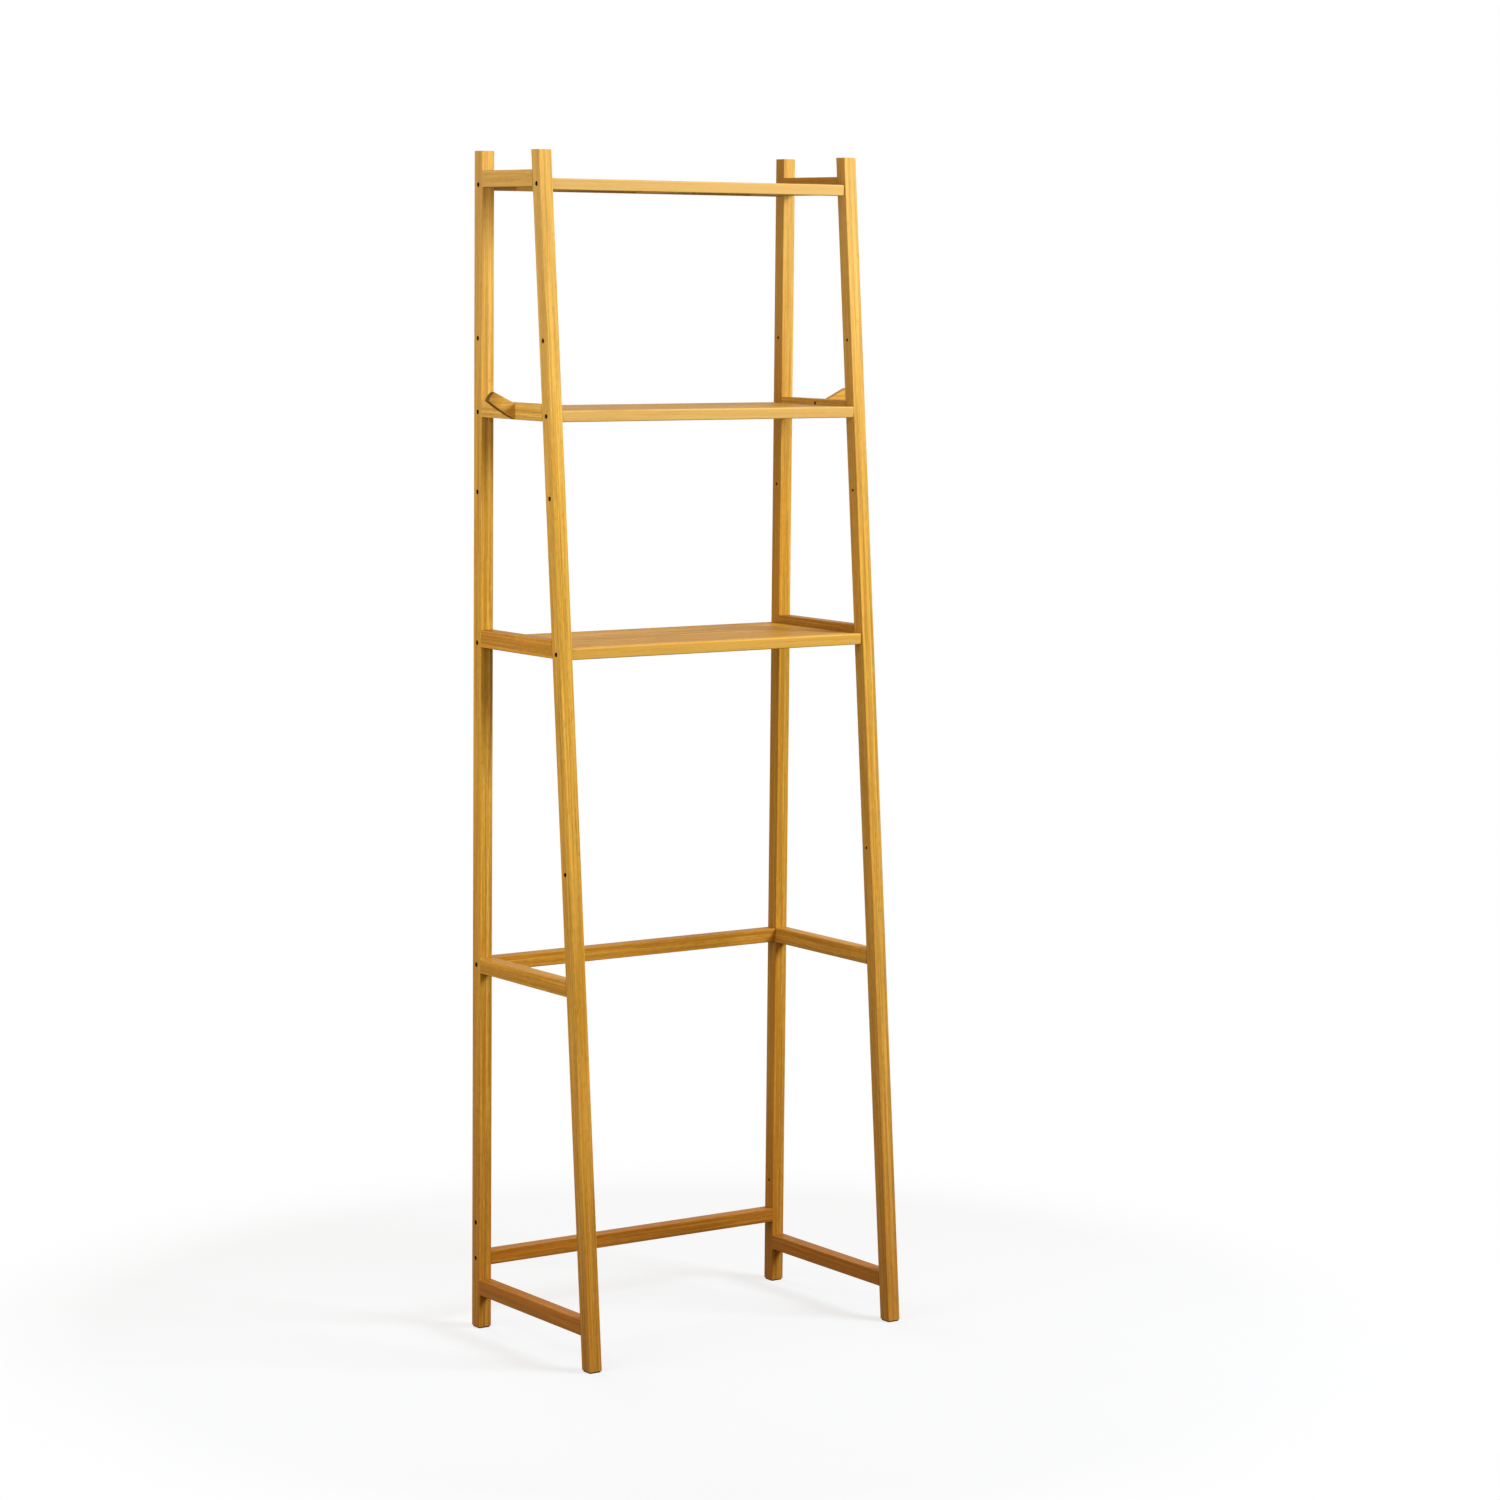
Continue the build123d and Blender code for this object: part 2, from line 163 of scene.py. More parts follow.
class BambooFinish(bpy.types.PropertyGroup):
    """Colours, scale and lacquer of the laminated bamboo."""

    pale_strip: colour("Pale strip", "Colour of the palest bamboo strips", (0.84, 0.55, 0.10))
    dark_strip: colour("Dark strip", "Colour of the darkest bamboo strips", (0.44, 0.24, 0.03))
    orange_strip: colour("Orange strip", "Colour that some strips lean to", (0.70, 0.345, 0.028))
    # Cream of the painted sheen at the top, also used for the paler tone of some pieces
    cream: colour("Cream", "Colour that the palest pieces lean to", (0.86, 0.64, 0.26))
    # Red of the painted shade towards the floor, also used for the warmth of some pieces
    red_shade_tint: colour("Red stain", "Colour that multiplies the warmest pieces", (0.86, 0.64, 0.55))
    # Brown of the fibre marks, also used for painted shade at the feet and on faces that look down
    fibre_and_shade_brown: colour("Fibre brown", "Colour of bundles, knuckles and glue lines", (0.20, 0.085, 0.014))
    end_brown: colour("End grain", "Colour of sawn ends under the lacquer", (0.42, 0.19, 0.03))
    # Dark end grain of the hooks' lower edge and nose, deepened by painted shade
    hook_edge_shade: colour("Hook edge", "Colour of the hooks' scorched edge and nose", (0.10, 0.042, 0.012))
    # Painted shade on the walls of drilled holes, from the rim inwards
    hole_painted_shade: colour("Drilled holes", "Colour of the walls of drilled holes", (0.05, 0.026, 0.01))
    hole_rim: length("Hole rim", "Depth at which a drilled hole turns dark", 1.0 * MM)
    end_margin: length("End margin", "Length at a piece's ends that isn't taken for a hole", 4.0 * MM)
    strip_width: length("Strip width", "Width of one glued strip", 5.5 * MM)
    knuckle_spacing: length("Knuckle spacing", "Length of bamboo between two knuckles", 0.27)
    knuckle_width: length("Knuckle width", "Half the length of the shaded band at a knuckle", 6 * MM)
    knuckle_sway: length("Knuckle sway", "How far a knuckle's line strays", 4 * MM)
    ring_start: length("Ring start", "Half the width of a knuckle's dark line", 0.3 * MM)
    ring_end: length("Ring end", "Where a knuckle's dark line has faded out", 1.3 * MM)
    worn_edge: length("Worn edge", "Width of the rubbed band along an edge", 1.5 * MM)
    relief: length("Relief", "Depth of the grain under the lacquer", 0.12 * MM)
    strip_contrast: share("Strip contrast", "Difference of shade between strips", 0.45)
    figure_contrast: share("Figure contrast", "Strength of the broad cloudy figure", 0.8)
    band_contrast: share("Band contrast", "Strength of the narrow light and dark bands", 0.85)
    fleck_contrast: share("Fleck contrast", "Strength of the short flecks along the fibres", 1.0)
    fibre_contrast: share("Fibre contrast", "Strength of the fine fibres", 0.6)
    orange_spread: share("Orange spread", "How far the strips' hues differ", 0.35)
    orange_streaks: share("Orange streaks", "Strength of the narrow orange streaks", 0.55)
    streak_shade: share("Streak shade", "Strength of the long dark streaks", 0.34)
    thread_shade: share("Thread shade", "Strength of the thin dark threads", 0.30)
    bundle_shade: share("Bundle shade", "Strength of the dark fibre bundles", 0.22)
    joint_shade: share("Joint shade", "Strength of the glue lines", 0.26)
    knuckle_shade: share("Knuckle shade", "Strength of the bands at the knuckles", 0.10)
    ring_shade: share("Ring shade", "Strength of the lines at the knuckles", 0.22)
    # Painted shade: redder towards the floor, redder and darker at the feet
    low_painted_shade: share("Floor stain", "How much redder the bamboo is at the floor", 0.4)
    foot_painted_redness: share("Foot stain", "How much redder still the bamboo is just above the floor", 0.25)
    foot_painted_shade: share("Foot shade", "How much darker the bamboo is just above the floor", 0.12)
    # Painted sheen: paler at the top
    top_painted_sheen: share("Top fade", "How much paler the bamboo is at the top", 0.32)
    # Painted shade on the faces that look down
    underside_painted_shade: share("Bare shade", "How much darker the bare undersides are", 0.5)
    pore_shade: share("Pore shade", "Strength of the pores in sawn ends", 0.55)
    end_shade: share("End shade", "How much of a sawn end takes the end colour", 0.85)
    wear: share("Wear", "How much paler the rubbed edges are", 0.10)
    tone_spread: share("Tone spread", "Difference of shade between pieces", 0.14)
    roughness: share("Roughness", "Roughness of the lacquered wood", 0.5)
    gloss: share("Gloss", "Mirror-like share of the lacquered wood", 0.06)
    lacquer: share("Lacquer", "Weight of the satin lacquer", 0.06)
    lacquer_roughness: share("Lacquer roughness", "Roughness of the satin lacquer", 0.3)


class HardwareFinish(bpy.types.PropertyGroup):
    """Colours and surfaces of the screws, dowels and foot pads."""

    bronze: colour("Screw bronze", "Plating of the screws", (0.06, 0.042, 0.03))
    worn_bronze: colour("Worn bronze", "Plating that a driver has rubbed", (0.17, 0.12, 0.08))
    dowel: colour("Dowel", "Bare wood of the dowels", (0.58, 0.38, 0.19))
    dowel_shade: colour("Dowel grain", "Dark grain of the dowels", (0.41, 0.27, 0.13))
    rubber: colour("Rubber", "Foot pads", (0.035, 0.028, 0.023))
    pad_dust: colour("Pad dust", "Dust on the foot pads", (0.16, 0.135, 0.11))
    dust: share("Dust", "How thick the dust on the foot pads is", 0.45)
    bronze_metal: share("Bronze metal", "How metallic the plating is", 0.85)
    bronze_roughness: share("Bronze roughness", "Roughness of the plating", 0.52)
    dowel_roughness: share("Dowel roughness", "Roughness of the dowels", 0.62)
    rubber_roughness: share("Rubber roughness", "Roughness of the foot pads", 0.78)
    bronze_relief: length("Bronze relief", "Depth of the scratches in the plating", 0.03 * MM)
    dowel_relief: length("Dowel relief", "Depth of the dowels' grain", 0.06 * MM)
    rubber_relief: length("Rubber relief", "Depth of the pads' moulded grain", 0.08 * MM)


class StageSettings(bpy.types.PropertyGroup):
    """Camera, lamps and floor."""

    camera_place: FloatVectorProperty(
        name="Camera place", description="Where the camera stands",
        subtype="TRANSLATION", size=3, default=(-3.1478, -4.6091, 1.4558))
    camera_yaw: angle("Camera yaw", "Turn from +Y towards +X", radians(35.146))
    camera_pitch: angle("Camera pitch", "Tilt above the level", radians(-6.719))
    camera_roll: angle("Camera roll", "Turn about the line of sight", radians(0.582))
    lens: FloatProperty(name="Lens", description="Focal length in millimetres", default=99.236, min=1)
    sensor: FloatProperty(name="Sensor", description="Width of the sensor in millimetres", default=36, min=1)
    ambient: colour("Ambient", "Light from all round", (0.39, 0.225, 0.07))
    key_power: power("Key power", "Power of the lamp in front on the right", 89)
    fill_power: power("Fill power", "Power of the lamp on the left", 6.6)
    back_power: power("Back power", "Power of the lamp behind the rack", 50)
    low_power: power("Low power", "Power of the lamp low on the left", 4.3)
    floor_radius: length("Floor radius", "Radius of the round floor", 4.0)
    floor_colour: colour("Floor", "Colour of the floor", (0.72, 0.84, 1.0))
    floor_bounce: colour("Floor bounce", "Colour that the floor throws back at the rack", (0.07, 0.05, 0.03))
    floor_glow: share("Floor glow", "Least share of plain white in what the camera sees of the floor", 0.72)
    shadow_start: length("Shadow start", "Distance at which the shadow begins to fade", 0.25)
    shadow_end: length("Shadow end", "Distance at which the floor is plain white", 1.1)
    floor_segments: IntProperty(
        name="Floor segments", description="Sides of the round floor", default=96, min=12)


class Value:
    """A shader socket in a Python expression. Each operation adds one Math node."""

    def __init__(self, shader, socket):
        self.shader = shader
        self.socket = socket

    def output(self, name):
        """Another output of the node that this value comes from."""
        return Value(self.shader, self.socket.node.outputs[name])

    def __add__(self, other):
        return self.shader.math("ADD", self, other)

    def __radd__(self, other):
        return self.shader.math("ADD", other, self)

    def __sub__(self, other):
        return self.shader.math("SUBTRACT", self, other)

    def __rsub__(self, other):
        return self.shader.math("SUBTRACT", other, self)

    def __mul__(self, other):
        return self.shader.math("MULTIPLY", self, other)

    def __rmul__(self, other):
        return self.shader.math("MULTIPLY", other, self)

    def __abs__(self):
        return self.shader.math("ABSOLUTE", self)

    def floor(self):
        return self.shader.math("FLOOR", self)

    def most(self, other):
        return self.shader.math("MAXIMUM", self, other)

    def rise(self, low, high):
        """0 below low, 1 above high, and a smooth step between."""
        return self.shader.node(
            "ShaderNodeMapRange", {"interpolation_type": "SMOOTHSTEP"},
            {"Value": self, "From Min": low, "From Max": high})

    def fall(self, low, high):
        """1 below low, 0 above high, and a smooth step between."""
        return 1 - self.rise(low, high)


class Shader:
    """A node tree that expressions add to."""

    MIX_FIRST, MIX_SECOND, MIX_RESULT = 6, 7, 2

    def __init__(self, tree):
        self.tree = tree

    def node(self, kind, settings=None, sockets=None, output=0):
        """Any node: its settings come first, then the values or links of its sockets."""
        made = self.tree.nodes.new(kind)
        for name, setting in (settings or {}).items():
            setattr(made, name, setting)
        for key, value in (sockets or {}).items():
            self.feed(made.inputs[key], value)
        return Value(self, made.outputs[output])

    def feed(self, socket, value):
        if isinstance(value, Value):
            self.tree.links.new(value.socket, socket)
        else:
            socket.default_value = value

    def math(self, operation, *values):
        return self.node("ShaderNodeMath", {"operation": operation}, dict(enumerate(values)))

    def vector(self, operation, *values, output="Vector"):
        return self.node("ShaderNodeVectorMath", {"operation": operation}, dict(enumerate(values)), output)

    def mix(self, factor, first, second, blend="MIX"):
        """A colour between two colours, or one that stains the other."""
        settings = {"data_type": "RGBA", "blend_type": blend}
        sockets = {"Factor": factor, self.MIX_FIRST: first, self.MIX_SECOND: second}
        return self.node("ShaderNodeMix", settings, sockets, self.MIX_RESULT)

    def noise(self, place, pattern, start=(0, 0, 0)):
        """Noise of a pattern, moved to a start of its own."""
        spot = self.vector("MULTIPLY_ADD", place, pattern.rate, start)
        sockets = {"Vector": spot, "Scale": 1.0, "Detail": pattern.detail}
        return self.node("ShaderNodeTexNoise", None, sockets)

    def draw(self, number):
        """A random share for each whole number."""
        return self.node("ShaderNodeTexWhiteNoise", {"noise_dimensions": "1D"}, {"W": number})

    def place(self):
        return self.node("ShaderNodeTexCoord", output="Object")

    def seen(self):
        """1 for what the camera sees, straight or by mirror or glass."""
        path = self.node("ShaderNodeLightPath", output="Is Camera Ray")
        return path.most(path.output("Is Glossy Ray")).most(path.output("Is Transmission Ray"))


class Finish(Shader):
    """A new material."""

    def __init__(self, name):
        self.material = bpy.data.materials.new(name)
        self.material.use_nodes = True
        super().__init__(self.material.node_tree)

    def relief(self, height, depth):
        """Bumps of a depth in metres, from a height of 0 to 1."""
        return self.node("ShaderNodeBump", None, {"Strength": 1.0, "Distance": depth, "Height": height})

    def done(self, **sockets):
        surface = self.tree.nodes["Principled BSDF"]
        for name, value in sockets.items():
            self.feed(surface.inputs[name.replace("_", " ")], value)
        return self.material


def opaque(tint):
    return (*tint, 1.0)


class Grain:
    """How the bamboo lies in a piece: along its fibres, and across its glued strips."""

    def __init__(self, node, along, across, half_across=None, half_depth=None):
        low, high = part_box(node)
        half = (high - low) / 2
        self.along = along.normalized()
        self.across = across
        self.depth = self.along.cross(across)
        self.half_along = sum(abs(a * b) for a, b in zip(half, self.along))
        self.half_across = half_across or abs(half.dot(across))
        self.half_depth = half_depth or sum(abs(a * b) for a, b in zip(half, self.depth))
        turn = Matrix((self.along, self.across, self.depth))
        self.turn = turn.to_euler()
        self.shift = -(turn @ ((low + high) / 2))


def bamboo(node, grain, seed, tone=0.0, warmth=0.0, scorched=False):
    """Laminated bamboo: strips with their own shades and hues, streaks, fibres, knuckles and satin lacquer.

    Tone makes the piece lighter or darker, and warmth makes it redder or, below 0, more like cream; on some
    pieces they carry painted shade, and on the shelf front rails a painted sheen.
    The colour also holds painted shade towards the floor, at the feet, on faces that look down and in
    drilled holes, and a painted sheen at the top.
    Both ends look sawn. A hook has instead a dark edge of end grain deepened by painted shade, on the faces
    that look along its fibres.
    """
    finish = bpy.context.scene.rack_bamboo
    wood = Finish(f"bamboo_{node}")
    local = wood.node(
        "ShaderNodeMapping", None, {"Vector": wood.place(), "Rotation": grain.turn, "Location": grain.shift})
    along = wood.node("ShaderNodeSeparateXYZ", None, {"Vector": local}, "X")
    across, depth = along.output("Y"), along.output("Z")

    def noise(pattern):
        """Noise along the fibres, different on each piece."""
        return wood.noise(local, pattern, SEED_STEP * seed)

    figure = noise(FIGURE) - MIDDLE
    band = noise(BAND).rise(*BAND_LIMITS) - MIDDLE
    glow = noise(HUE).rise(*HUE_LIMITS)
    streak = noise(STREAK).rise(*STREAK_LIMITS)
    thread = noise(THREAD).rise(*THREAD_LIMITS)
    fleck = noise(FLECK) - MIDDLE
    fibre = noise(FIBRE) - MIDDLE
    bundle = noise(BUNDLE).rise(*BUNDLE_LIMITS)

    strips = max(1, round(2 * grain.half_across / finish.strip_width))
    lane = across * (strips / (2 * grain.half_across)) + strips / 2
    strip = lane.floor()
    shade = wood.draw(strip + seed * SHADE_STEP) - MIDDLE
    phase = wood.draw(strip + seed * PHASE_STEP)
    orange = wood.draw(strip + seed * HUE_STEP)
    joint = abs(lane - strip - MIDDLE).rise(*JOINT_LIMITS)

    run = along * (1 / finish.knuckle_spacing) + phase
    sway = (noise(KNUCKLE_SWAY) - MIDDLE) * finish.knuckle_sway
    from_knuckle = abs((run - run.floor() - MIDDLE) * finish.knuckle_spacing + sway)
    knuckle = from_knuckle.fall(0.0, finish.knuckle_width)
    ring = from_knuckle.fall(finish.ring_start, finish.ring_end)

    height = wood.node("ShaderNodeSeparateXYZ", None, {"Vector": wood.place()}, "Z")
    # Painted shade: redder towards the floor, redder and darker at the feet
    foot = height.fall(*FOOT_LIMITS)
    low_shade = height.fall(*LOW_SHADE_LIMITS) * finish.low_painted_shade + foot * finish.foot_painted_redness
    # Painted sheen: paler at the top
    top_sheen = height.rise(*TOP_SHEEN_LIMITS) * finish.top_painted_sheen
    normal = wood.node("ShaderNodeTexCoord", output="Normal")
    # Faces that look down: bare of lacquer, and darkened by painted shade
    bare_and_shaded = wood.vector("DOT_PRODUCT", normal, -Z_AXIS, output="Value").rise(*UNDERSIDE_LIMITS)
    facing = wood.vector("DOT_PRODUCT", normal, grain.along, output="Value")
    sawn = facing.rise(*HOOK_CUT) if scorched else abs(facing).rise(*END_CUT)
    spots = wood.vector("MULTIPLY", local, PORE_RATE)
    pores = wood.node("ShaderNodeTexVoronoi", None, {"Vector": spots, "Scale": 1.0}).fall(*PORE_LIMITS)
    edge = (
        abs(across).rise(grain.half_across - finish.worn_edge, grain.half_across)
        * abs(depth).rise(grain.half_depth - finish.worn_edge, grain.half_depth)
    )

    tone += finish.tone_spread * (seed * GOLDEN_SHARE % 1 - MIDDLE)
    light = (
        MIDDLE + tone + shade * finish.strip_contrast + figure * finish.figure_contrast
        + band * finish.band_contrast + fleck * finish.fleck_contrast + fibre * finish.fibre_contrast
        + edge * finish.wear
    )
    tint = wood.mix(light, opaque(finish.dark_strip), opaque(finish.pale_strip))
    hue = (orange * finish.orange_spread).most(glow * finish.orange_streaks)
    tint = wood.mix(hue, tint, opaque(finish.orange_strip))
    # Painted shade makes the bamboo redder towards the floor; a piece's warmth adds to it
    tint = wood.mix(low_shade + max(warmth, 0), tint, opaque(finish.red_shade_tint), blend="MULTIPLY")
    # Painted sheen makes the bamboo paler at the top; a piece's warmth below 0 adds to it
    tint = wood.mix(top_sheen + max(-warmth, 0), tint, opaque(finish.cream))
    marks_and_shade = (streak * finish.streak_shade).most(thread * finish.thread_shade)
    marks_and_shade = marks_and_shade.most(bundle * finish.bundle_shade).most(joint * finish.joint_shade)
    marks_and_shade = marks_and_shade.most(knuckle * finish.knuckle_shade).most(ring * finish.ring_shade)
    # Painted shade darkens the feet and the faces that look down, on top of the grain's marks
    marks_and_shade = foot * finish.foot_painted_shade + marks_and_shade.most(bare_and_shaded * finish.underside_painted_shade)
    tint = wood.mix(marks_and_shade, tint, opaque(finish.fibre_and_shade_brown))
    # A hook's end grain is darkened further by painted shade
    end_tint = finish.hook_edge_shade if scorched else finish.end_brown
    end = wood.mix(pores * finish.pore_shade, opaque(end_tint), opaque(finish.fibre_and_shade_brown))
    tint = wood.mix(sawn * finish.end_shade, tint, end)
    # Painted shade on the walls of drilled holes
    if not scorched:
        drilled = (
            abs(across).fall(grain.half_across - finish.hole_rim, grain.half_across - finish.hole_rim / 2)
            * abs(depth).fall(grain.half_depth - finish.hole_rim, grain.half_depth - finish.hole_rim / 2)
            * abs(along).fall(grain.half_along - finish.end_margin, grain.half_along - finish.end_margin / 2)
        )
        tint = wood.mix(drilled, tint, opaque(finish.hole_painted_shade))

    surface = (
        MIDDLE + fibre * FIBRE_RELIEF + bundle * BUNDLE_RELIEF + joint * JOINT_RELIEF
        + knuckle * KNUCKLE_RELIEF + pores * sawn * PORE_RELIEF
    )
    dry = (sawn * SAWN_ROUGHNESS).most(bare_and_shaded * BARE_ROUGHNESS)
    lacquered = (1 - sawn * SAWN_LACQUER_LOSS) * (1 - edge * EDGE_LACQUER_LOSS) * (1 - bare_and_shaded)
    return wood.done(
        Base_Color=tint,
        Roughness=finish.roughness + fibre * FIBRE_ROUGHNESS + edge * EDGE_ROUGHNESS + dry,
        Coat_Weight=finish.lacquer * lacquered,
        Coat_Roughness=finish.lacquer_roughness,
        Specular_IOR_Level=finish.gloss,
        Normal=wood.relief(surface, finish.relief),
    )


def bronze(hardware):
    """Dark plated screws with the plating rubbed on high spots."""
    plating = Finish("screw_bronze")
    place = plating.place()
    blotch = plating.noise(place, BLOTCH)
    scratch = plating.noise(place, SCRATCH)
    worn = blotch.rise(*BLOTCH_LIMITS) * BLOTCH_WEAR + scratch.rise(*SCRATCH_LIMITS) * SCRATCH_WEAR
    surface = scratch * SCRATCH_RELIEF + blotch * BLOTCH_RELIEF
    return plating.done(
        Base_Color=plating.mix(worn, opaque(hardware.bronze), opaque(hardware.worn_bronze)),
        Metallic=hardware.bronze_metal,
        Roughness=hardware.bronze_roughness - worn * HARDWARE_ROUGHNESS_SPREAD,
        Normal=plating.relief(surface, hardware.bronze_relief),
    )


def dowel_wood(hardware):
    """Plain turned wood with its grain along the dowel."""
    wood = Finish("dowel_wood")
    place = wood.place()
    grain = wood.noise(place, DOWEL_GRAIN)
    flame = wood.noise(place, DOWEL_FLAME)
    light = grain * GRAIN_TINT + flame * FLAME_TINT
    return wood.done(
        Base_Color=wood.mix(light, opaque(hardware.dowel_shade), opaque(hardware.dowel)),
        Roughness=hardware.dowel_roughness + (grain - MIDDLE) * HARDWARE_ROUGHNESS_SPREAD,
        Normal=wood.relief(grain, hardware.dowel_relief),
    )


def rubber(hardware):
    """Matt rubber with a fine moulded grain and some dust."""
    pad = Finish("pad_rubber")
    place = pad.place()
    pebble = pad.noise(place, PEBBLE)
    dust = pad.noise(place, DUST).rise(*DUST_LIMITS) * hardware.dust
    return pad.done(
        Base_Color=pad.mix(dust, opaque(hardware.rubber), opaque(hardware.pad_dust)),
        Roughness=hardware.rubber_roughness + dust * HARDWARE_ROUGHNESS_SPREAD,
        Normal=pad.relief(pebble, hardware.rubber_relief),
    )


def dress(node, material):
    """Gives a CAD node its one material."""
    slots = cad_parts[node].data.materials
    slots.clear()
    slots.append(material)


def leg_lean():
    """The way a leaning front leg points, from the floor up, and half its thickness."""
    low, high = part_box("left_front_leg")
    stock = high.x - low.x
    return Vector((0, high.y - low.y - stock, high.z - low.z)), stock / 2


# Tone and warmth of the pieces that differ: beside the bamboo's own differences, these hold painted shade,
# most on the back rails, the lower and floor side rails, the right back leg, the slats and the shelf
# undersides, and a painted sheen that makes the shelf front rails and the right front leg paler and creamier
LEG_LOOKS = {
    "left_back": (-0.13, 0.0),
    "left_front": (0.12, 0.0),
    "right_back": (-0.25, 0.0),
    "right_front": (-0.05, -0.08),
}
SIDE_RAIL_LOOKS = {
    "top": (-0.2, 0.0),
    "middle": (-0.1, 0.0),
    "lower": (-0.5, 0.5),
    "tank": (-0.05, 0.15),
    "floor": (-0.6, 0.45),
}
BACK_RAIL_LOOKS = {"tank": (-0.3, 0.2), "floor": (-0.45, 0.35)}
FRONT_RAIL_LOOKS = {"top": (0.1, -0.4), "middle": (0.25, -0.4), "lower": (0.42, -0.12)}
UNDERSIDE_LOOK = (-0.3, 0.3)
SLAT_LOOK = (-0.2, 0.15)
HOOK_LOOK = (-0.08, 0.0)


class RACK_OT_legs(bpy.types.Operator):
    """Bamboo on the four legs, with strips side by side on their front faces"""

    bl_idname = "rack.legs"
    bl_label = "Dress the legs"

    def execute(self, context):
        lean, half_stock = leg_lean()
        for seed, (place, look) in enumerate(LEG_LOOKS.items(), start=LEG_SEED):
            name = f"{place}_leg"
            fibres = lean if place.endswith("front") else Z_AXIS
            dress(name, bamboo(name, Grain(name, fibres, X_AXIS, half_stock, half_stock), seed, *look))
        return {"FINISHED"}


class RACK_OT_side_rails(bpy.types.Operator):
    """Bamboo on the rails between front and back legs"""

    bl_idname = "rack.side_rails"
    bl_label = "Dress the side rails"

    def execute(self, context):
        rails = [(side, rail) for side in SIDES for rail in SIDE_RAIL_LOOKS]
        for seed, (side, rail) in enumerate(rails, start=SIDE_RAIL_SEED):
            name = f"{side}_{rail}_side_rail"
            dress(name, bamboo(name, Grain(name, Y_AXIS, Z_AXIS), seed, *SIDE_RAIL_LOOKS[rail]))
        return {"FINISHED"}


class RACK_OT_back_rails(bpy.types.Operator):
    """Bamboo on the rails that tie the back legs together"""

    bl_idname = "rack.back_rails"
    bl_label = "Dress the back rails"

    def execute(self, context):
        for seed, (rail, look) in enumerate(BACK_RAIL_LOOKS.items(), start=BACK_RAIL_SEED):
            name = f"{rail}_back_rail"
            dress(name, bamboo(name, Grain(name, X_AXIS, Z_AXIS), seed, *look))
        return {"FINISHED"}


class RACK_OT_shelf_frames(bpy.types.Operator):
    """Bamboo on the shelves' front and back rails and on their battens"""

    bl_idname = "rack.shelf_frames"
    bl_label = "Dress the shelf frames"

    def execute(self, context):
        for seed, (shelf, look) in enumerate(FRONT_RAIL_LOOKS.items(), start=SHELF_FRONT_SEED):
            name = f"{shelf}_shelf_front_rail"
            dress(name, bamboo(name, Grain(name, X_AXIS, Y_AXIS), seed, *look))
        for seed, shelf in enumerate(SHELVES, start=SHELF_BACK_SEED):
            name = f"{shelf}_shelf_back_rail"
            dress(name, bamboo(name, Grain(name, X_AXIS, Y_AXIS), seed, *UNDERSIDE_LOOK))
        battens = [f"{shelf}_shelf_{place}_batten" for shelf in SHELVES for place in BATTEN_PLACES]
        for seed, name in enumerate(battens, start=BATTEN_SEED):
            dress(name, bamboo(name, Grain(name, Y_AXIS, X_AXIS), seed, *UNDERSIDE_LOOK))
        return {"FINISHED"}


class RACK_OT_slats(bpy.types.Operator):
    """Bamboo on the slats of the shelves"""

    bl_idname = "rack.slats"
    bl_label = "Dress the slats"

    def execute(self, context):
        names = sorted(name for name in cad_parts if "_shelf_slat_" in name)
        for seed, name in enumerate(names, start=SLAT_SEED):
            dress(name, bamboo(name, Grain(name, X_AXIS, Y_AXIS), seed, *SLAT_LOOK))
        return {"FINISHED"}


class RACK_OT_hooks(bpy.types.Operator):
    """Bamboo on the two towel hooks, with a dark edge of end grain along the lower edge and nose, deepened
    by painted shade
    """

    bl_idname = "rack.hooks"
    bl_label = "Dress the hooks"

    def execute(self, context):
        for seed, (side, outward) in enumerate(zip(SIDES, (-X_AXIS, X_AXIS)), start=HOOK_SEED):
            name = f"{side}_hook"
            dress(name, bamboo(name, Grain(name, outward, Y_AXIS), seed, *HOOK_LOOK, scorched=True))
        return {"FINISHED"}


class RACK_OT_hardware(bpy.types.Operator):
    """Screws, dowels and foot pads"""

    bl_idname = "rack.hardware"
    bl_label = "Dress the hardware"

    def execute(self, context):
        hardware = context.scene.rack_hardware
        plating = bronze(hardware)
        for name in ("shelf_screws", "back_rail_screws", "slat_screws", "hook_screws"):
            dress(name, plating)
        pins = dowel_wood(hardware)
        for name in ("rail_dowels", "batten_dowels"):
            dress(name, pins)
        pad = rubber(hardware)
        for side in SIDES:
            for place in ("back", "front"):
                dress(f"{side}_{place}_foot_pad", pad)
        return {"FINISHED"}


def floor_material(stage):
    """Pale floor that keeps the shadow near the rack and runs out into white."""
    floor = Finish("floor_pale")
    seen = floor.seen()
    matt = floor.node(
        "ShaderNodeBsdfDiffuse", None,
        {"Color": floor.mix(seen, opaque(stage.floor_bounce), opaque(stage.floor_colour))})
    white = floor.node("ShaderNodeEmission", None, {"Color": WHITE, "Strength": 1.0})
    away = floor.vector("LENGTH", floor.place(), output="Value")
    plain = away.rise(stage.shadow_start, stage.shadow_end).most(stage.floor_glow)
    mixed = floor.node("ShaderNodeMixShader", None, {0: plain * seen, 1: matt, 2: white})
    floor.feed(floor.tree.nodes["Material Output"].inputs["Surface"], mixed)
    return floor.material


def studio_world(stage):
    """White to the eye and in reflections, soft light for everything else."""
    world = bpy.data.worlds.new("studio")
    world.use_nodes = True
    air = Shader(world.node_tree)
    tint = air.mix(air.seen(), opaque(stage.ambient), WHITE)
    air.feed(world.node_tree.nodes["Background"].inputs["Color"], tint)
    return world


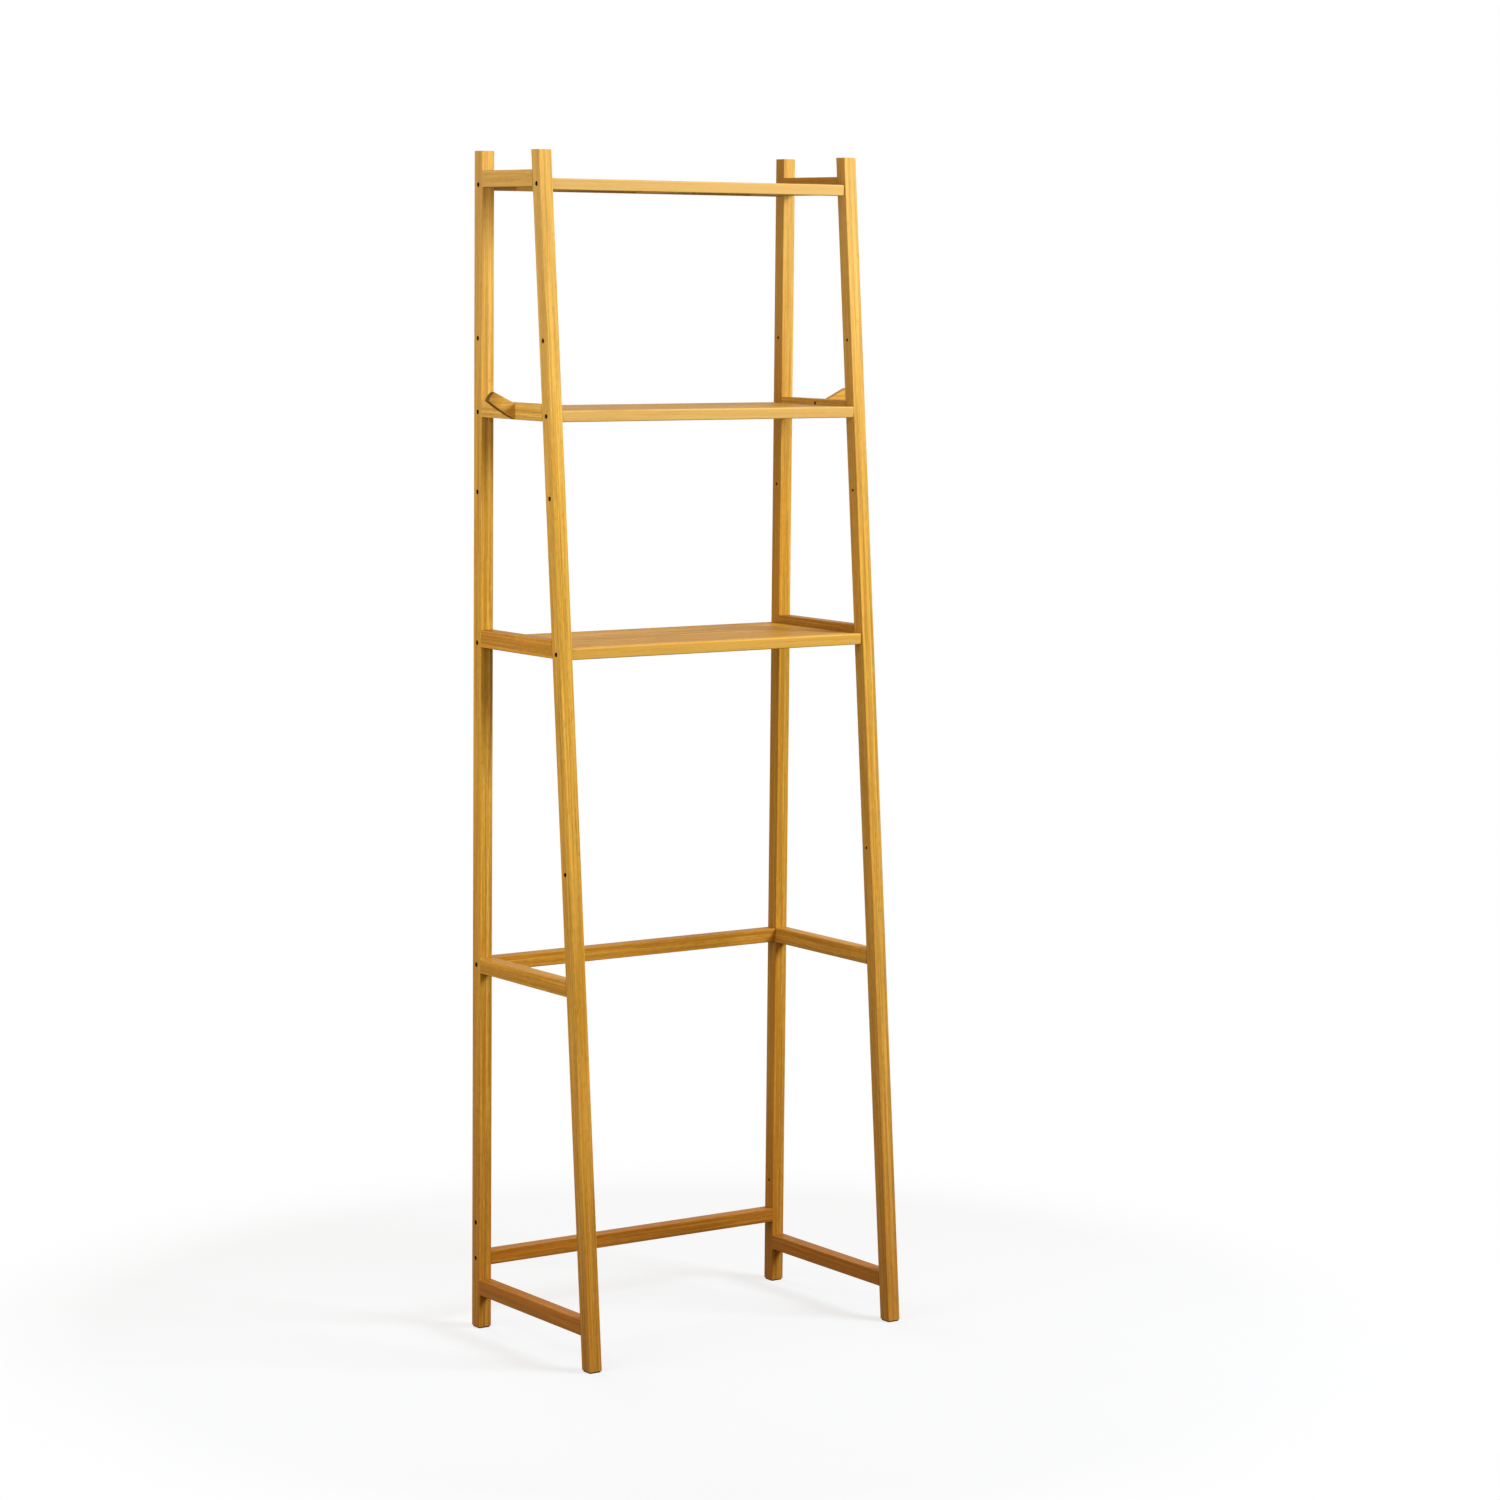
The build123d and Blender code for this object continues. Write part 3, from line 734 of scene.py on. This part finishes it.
# Where a lamp stands, what it points at, and the length of its sides
Lamp = namedtuple("Lamp", "place target side")
KEY_LAMP = Lamp(place=(1.6, -2.0, 2.2), target=(0, 0, 1.2), side=1.2)
FILL_LAMP = Lamp(place=(-1.15, -0.25, 1.35), target=(-0.25, 0.05, 1.1), side=0.9)
BACK_LAMP = Lamp(place=(0, 2.8, 0.9), target=(0, 0.1, 0.8), side=1.6)
LOW_LAMP = Lamp(place=(-1.4, 0.0, 0.45), target=(-0.25, 0.05, 0.45), side=1.0)


def area_lamp(name, lamp, power):
    """A soft square lamp that neither the camera nor a shiny surface shows."""
    place = Vector(lamp.place)
    sight = Vector(lamp.target) - place
    bpy.ops.object.light_add(type="AREA", location=place, rotation=sight.to_track_quat("-Z", "Y").to_euler())
    made = bpy.context.object
    made.name = name
    made.data.size = lamp.side
    made.data.energy = power
    made.visible_camera = False
    made.visible_glossy = False


def photo_camera(stage):
    """The camera at the photograph's place, with its lens."""
    bpy.ops.object.camera_add()
    camera = bpy.context.object
    camera.name = "photo_camera"
    yaw, pitch, roll = stage.camera_yaw, stage.camera_pitch, stage.camera_roll
    sight = Vector((sin(yaw) * cos(pitch), cos(yaw) * cos(pitch), sin(pitch)))
    level = Vector((cos(yaw), -sin(yaw), 0))
    upright = level.cross(sight)
    right = cos(roll) * level + sin(roll) * upright
    up = cos(roll) * upright - sin(roll) * level
    turn = Matrix((right, up, -sight)).transposed().to_4x4()
    camera.matrix_world = Matrix.Translation(stage.camera_place) @ turn
    camera.data.sensor_width = stage.sensor
    camera.data.lens = stage.lens
    return camera


class RACK_OT_stage(bpy.types.Operator):
    """Floor, white surroundings, four soft lamps and the camera"""

    bl_idname = "rack.stage"
    bl_label = "Set the stage"

    def execute(self, context):
        stage = context.scene.rack_stage
        bpy.ops.object.select_all(action="DESELECT")
        bpy.ops.mesh.primitive_circle_add(
            vertices=stage.floor_segments, radius=stage.floor_radius, fill_type="NGON")
        floor = context.object
        floor.name = "floor"
        floor.data.materials.append(floor_material(stage))
        context.scene.world = studio_world(stage)
        area_lamp("key_lamp", KEY_LAMP, stage.key_power)
        area_lamp("fill_lamp", FILL_LAMP, stage.fill_power)
        area_lamp("back_lamp", BACK_LAMP, stage.back_power)
        area_lamp("low_lamp", LOW_LAMP, stage.low_power)
        context.scene.camera = photo_camera(stage)
        context.scene.view_settings.view_transform = "Standard"
        return {"FINISHED"}


class RACK_PT_panel(bpy.types.Panel):
    """Lists the steps and the values that a user would change"""

    bl_label = "Bamboo rack"
    bl_space_type = "VIEW_3D"
    bl_region_type = "UI"
    bl_category = "Rack"

    def draw(self, context):
        for operator in OPERATORS:
            self.layout.operator(operator.bl_idname)
        for group in GROUPS:
            settings = getattr(context.scene, group)
            for name in settings.bl_rna.properties.keys():
                if name not in ("name", "rna_type"):
                    self.layout.prop(settings, name)


GROUPS = {"rack_bamboo": BambooFinish, "rack_hardware": HardwareFinish, "rack_stage": StageSettings}
OPERATORS = (
    RACK_OT_legs,
    RACK_OT_side_rails,
    RACK_OT_back_rails,
    RACK_OT_shelf_frames,
    RACK_OT_slats,
    RACK_OT_hooks,
    RACK_OT_hardware,
    RACK_OT_stage,
)
CLASSES = (*GROUPS.values(), *OPERATORS, RACK_PT_panel)


def register():
    for item in CLASSES:
        bpy.utils.register_class(item)
    for name, group in GROUPS.items():
        setattr(bpy.types.Scene, name, PointerProperty(type=group))


def unregister():
    for name in GROUPS:
        delattr(bpy.types.Scene, name)
    for item in reversed(CLASSES):
        bpy.utils.unregister_class(item)


def main():
    register()
    for operator in OPERATORS:
        group, name = operator.bl_idname.split(".")
        getattr(getattr(bpy.ops, group), name)()


if __name__ == "__main__":
    main()
